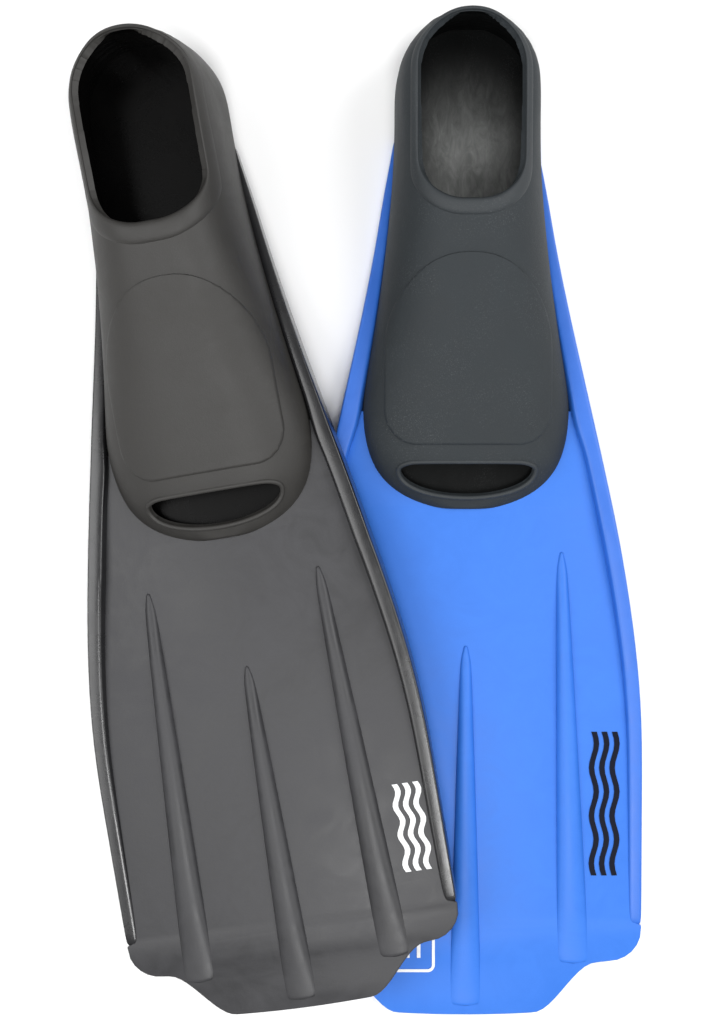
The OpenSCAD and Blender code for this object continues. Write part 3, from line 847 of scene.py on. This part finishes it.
def build_fin(fin, half, mouth_half, grow, draws, place, looks):
    foot, sheet_body = fin + "_foot", fin + "_blade"
    pocket, collar, lip, panel = foot_pocket(fin, mouth_half, grow)
    bed = foot_bed(fin)
    right_rail = side_rail(fin, half)
    left_rail = mirrored(right_rail, fin + "_left_side_rail")
    sheet = blade(fin, half)
    outer_end = tail(half - RIB_END_INSET) - 0.008
    right_rib = rib(fin + "_right_blade_rib", OUTER_RIB_START, outer_end,
                    half - RIB_START_INSET, half - RIB_END_INSET)
    left_rib = mirrored(right_rib, fin + "_left_blade_rib")
    middle_rib = rib(fin + "_middle_blade_rib", MIDDLE_RIB_START, MIDDLE_RIB_END, 0.0, 0.0)

    pieces = [
        (pocket, foot, "pocket", ["sole", "heel_cup", "upper", "toe_cap"]),
        (collar, foot, "collar", ["collar"]),
        (lip, foot, "collar", []),
        (panel, foot, "panel", ["instep_panel"]),
        (bed, foot, "bed", ["insole"]),
        (right_rib, sheet_body, "rib", ["right_rib"]),
        (left_rib, sheet_body, "rib", ["left_rib"]),
        (middle_rib, sheet_body, "rib", ["centre_rib"]),
        (sheet, None, "blade", ["blade_panel", "blade_root"]),
        (right_rail, None, "rail", ["right_rail", "right_rear_rail"]),
        (left_rail, None, "rail", ["left_rail", "left_rear_rail"]),
    ]
    for piece, body, look, nodes in pieces:
        drawn_out(piece, *draws)
        lay(piece, place)
        rubbers = [looks[look][0]]
        # The pocket's inner wall is painted with the insole's darker material: painted shade inside
        # the pocket.
        if piece == pocket:
            rubbers.append(looks["bed"][0])
        painted(piece, *rubbers)
        if body:
            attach(piece, body)
        else:
            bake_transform(piece)
        if nodes:
            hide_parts(*[f"{fin}_{node}" for node in nodes])


BLUE = rubber("Blue blade rubber", (0.026, 0.140, 0.55), (0.037, 0.166, 0.62), 0.45,
              dust=0.04, flow=0.6, bump=0.08, shine=0.3)
# A darker copy of the blade's blue rubber: its darker tone is painted shade on the rails.
BLUE_RAIL_PAINTED_SHADE = rubber("Blue rail rubber in painted shade", (0.022, 0.118, 0.50), (0.032, 0.148, 0.58), 0.38,
                   dust=0.04, flow=0.5, bump=0.08, shine=0.4)
CHARCOAL = rubber("Charcoal pocket rubber", (0.015, 0.019, 0.022), (0.026, 0.032, 0.036), 0.68,
                  dust=0.22, flow=0.5, bump=0.35, shine=0.35)
CHARCOAL_EDGE = rubber("Charcoal collar rubber", (0.018, 0.022, 0.025), (0.030, 0.036, 0.040),
                       0.60, dust=0.22, flow=0.5, bump=0.3, shine=0.4)
# The insole's near-black deep tone is painted shade, and its pale streaked spot in the middle is
# painted sheen.
INSOLE_SHEEN_AND_SHADE = rubber("Grey insole rubber with painted sheen and shade", (0.002, 0.0024, 0.0024), (0.78, 0.80, 0.78), 0.45,
                dust=0.02, flow=1.0, bump=0.10, stretched=(2, 0.8, 1), shine=0.08,
                flow_scale=2.0, painted_sheen_spot=((0.0, -0.062, 0.006), (0.052, 0.095, 0.05)))
BLACK_POCKET = rubber("Black pocket rubber", (0.019, 0.018, 0.0165), (0.029, 0.0275, 0.025), 0.55,
                      dust=0.06, flow=0.5, bump=0.18, shine=0.45)
BLACK_BLADE = rubber("Black blade rubber", (0.024, 0.024, 0.026), (0.046, 0.046, 0.050), 0.40,
                     dust=0.04, flow=0.7, bump=0.10, rough_span=0.2, shine=0.4)
BLACK_GLOSS = rubber("Glossy black rubber", (0.006, 0.006, 0.007), (0.014, 0.014, 0.015), 0.22,
                     dust=0.02, flow=0.5, bump=0.05, coat=0.2)
# Near-black, far darker than the black rubber itself: painted shade inside the black pocket, on its
# insole and inner wall.
BLACK_BED_PAINTED_SHADE = rubber("Black insole rubber in painted shade", (0.0010, 0.0010, 0.0010), (0.0024, 0.0020, 0.0018),
                   0.24, dust=0.01, flow=0.5, bump=0.02, shine=0.08)
DARK_INK = rubber("Dark printed ink", (0.002, 0.003, 0.010), (0.004, 0.006, 0.018), 0.55,
                  dust=0.02, flow=0.4, bump=0.1, shine=0.12)
WHITE_INK = rubber("White printed ink", (0.62, 0.63, 0.64), (0.82, 0.83, 0.84), 0.5,
                   dust=0.1, flow=0.8, bump=0.1, flow_scale=3.0)

blue_place = Matrix.Translation((0, HEEL_RADIUS, 0))
build_fin("blue", 0.098, 0.0285, (0.004, 0.0016, 0.0085), (1, 1), blue_place, {
    "pocket": (CHARCOAL, "charcoal_rubber"), "collar": (CHARCOAL_EDGE, "charcoal_rubber"),
    "panel": (CHARCOAL, "charcoal_rubber"), "bed": (INSOLE_SHEEN_AND_SHADE, "insole_lining"),
    "blade": (BLUE, "blue_rubber"), "rail": (BLUE_RAIL_PAINTED_SHADE, "blue_rubber"),
    "rib": (BLUE, "blue_rubber"),
})
# The black fin is drawn out longer behind its flex line and shorter ahead of it.
black_draws = (0.289 / 0.280, 0.249 / 0.270)
build_fin("black", 0.093, 0.0325, (0.0045, 0.0016, 0.0105), black_draws, black_place(), {
    "pocket": (BLACK_POCKET, "black_rubber"), "collar": (BLACK_POCKET, "black_rubber"),
    "panel": (BLACK_POCKET, "black_rubber"), "bed": (BLACK_BED_PAINTED_SHADE, "black_gloss_rubber"),
    "blade": (BLACK_BLADE, "black_rubber"), "rail": (BLACK_GLOSS, "black_gloss_rubber"),
    "rib": (BLACK_BLADE, "black_rubber"),
})
painted(frame["nodes"]["blue_wave_mark"], DARK_INK)
painted(frame["nodes"]["blue_care_label"], WHITE_INK)
painted(frame["nodes"]["black_wave_mark"], WHITE_INK)

# ---- Floor, light and camera ---------------------------------------------------

bpy.ops.object.select_all(action="DESELECT")
bpy.ops.mesh.primitive_plane_add(size=6, location=(-0.06, -0.23, 0))
floor = named("floor")
pale = bpy.data.materials.new("Pale floor")
pale.use_nodes = True
pale.node_tree.nodes["Principled BSDF"].inputs["Base Color"].default_value = (0.9, 0.9, 0.9, 1)
pale.node_tree.nodes["Principled BSDF"].inputs["Roughness"].default_value = 0.9
painted(floor, pale)


def area_light(name, place, aim, size, power):
    bpy.ops.object.light_add(type="AREA", location=place)
    lamp = bpy.context.active_object
    lamp.name = name
    lamp.data.shape = "DISK"
    lamp.data.size = size
    lamp.data.energy = power
    lamp.rotation_euler = (Vector(aim) - Vector(place)).to_track_quat("-Z", "Y").to_euler()


area_light("soft_key", (1.15, 0.15, 1.35), (-0.06, -0.2, 0), 1.3, 24)
area_light("soft_fill", (-1.2, -0.35, 1.35), (-0.06, -0.25, 0), 1.3, 17)
area_light("soft_front", (-0.04, -0.88, 1.6), (-0.06, -0.2, 0), 0.6, 15)

world = bpy.data.worlds.new("Studio")
bpy.context.scene.world = world
bpy.context.scene.view_settings.view_transform = "Standard"
world.use_nodes = True
world.node_tree.nodes["Background"].inputs["Color"].default_value = (1, 1, 1, 1)
world.node_tree.nodes["Background"].inputs["Strength"].default_value = 0.45

bpy.ops.object.camera_add(location=(-0.060, -0.2305, 1.0), rotation=(0, 0, 0))
camera = bpy.context.active_object
camera.data.lens = 62.8
bpy.context.scene.camera = camera
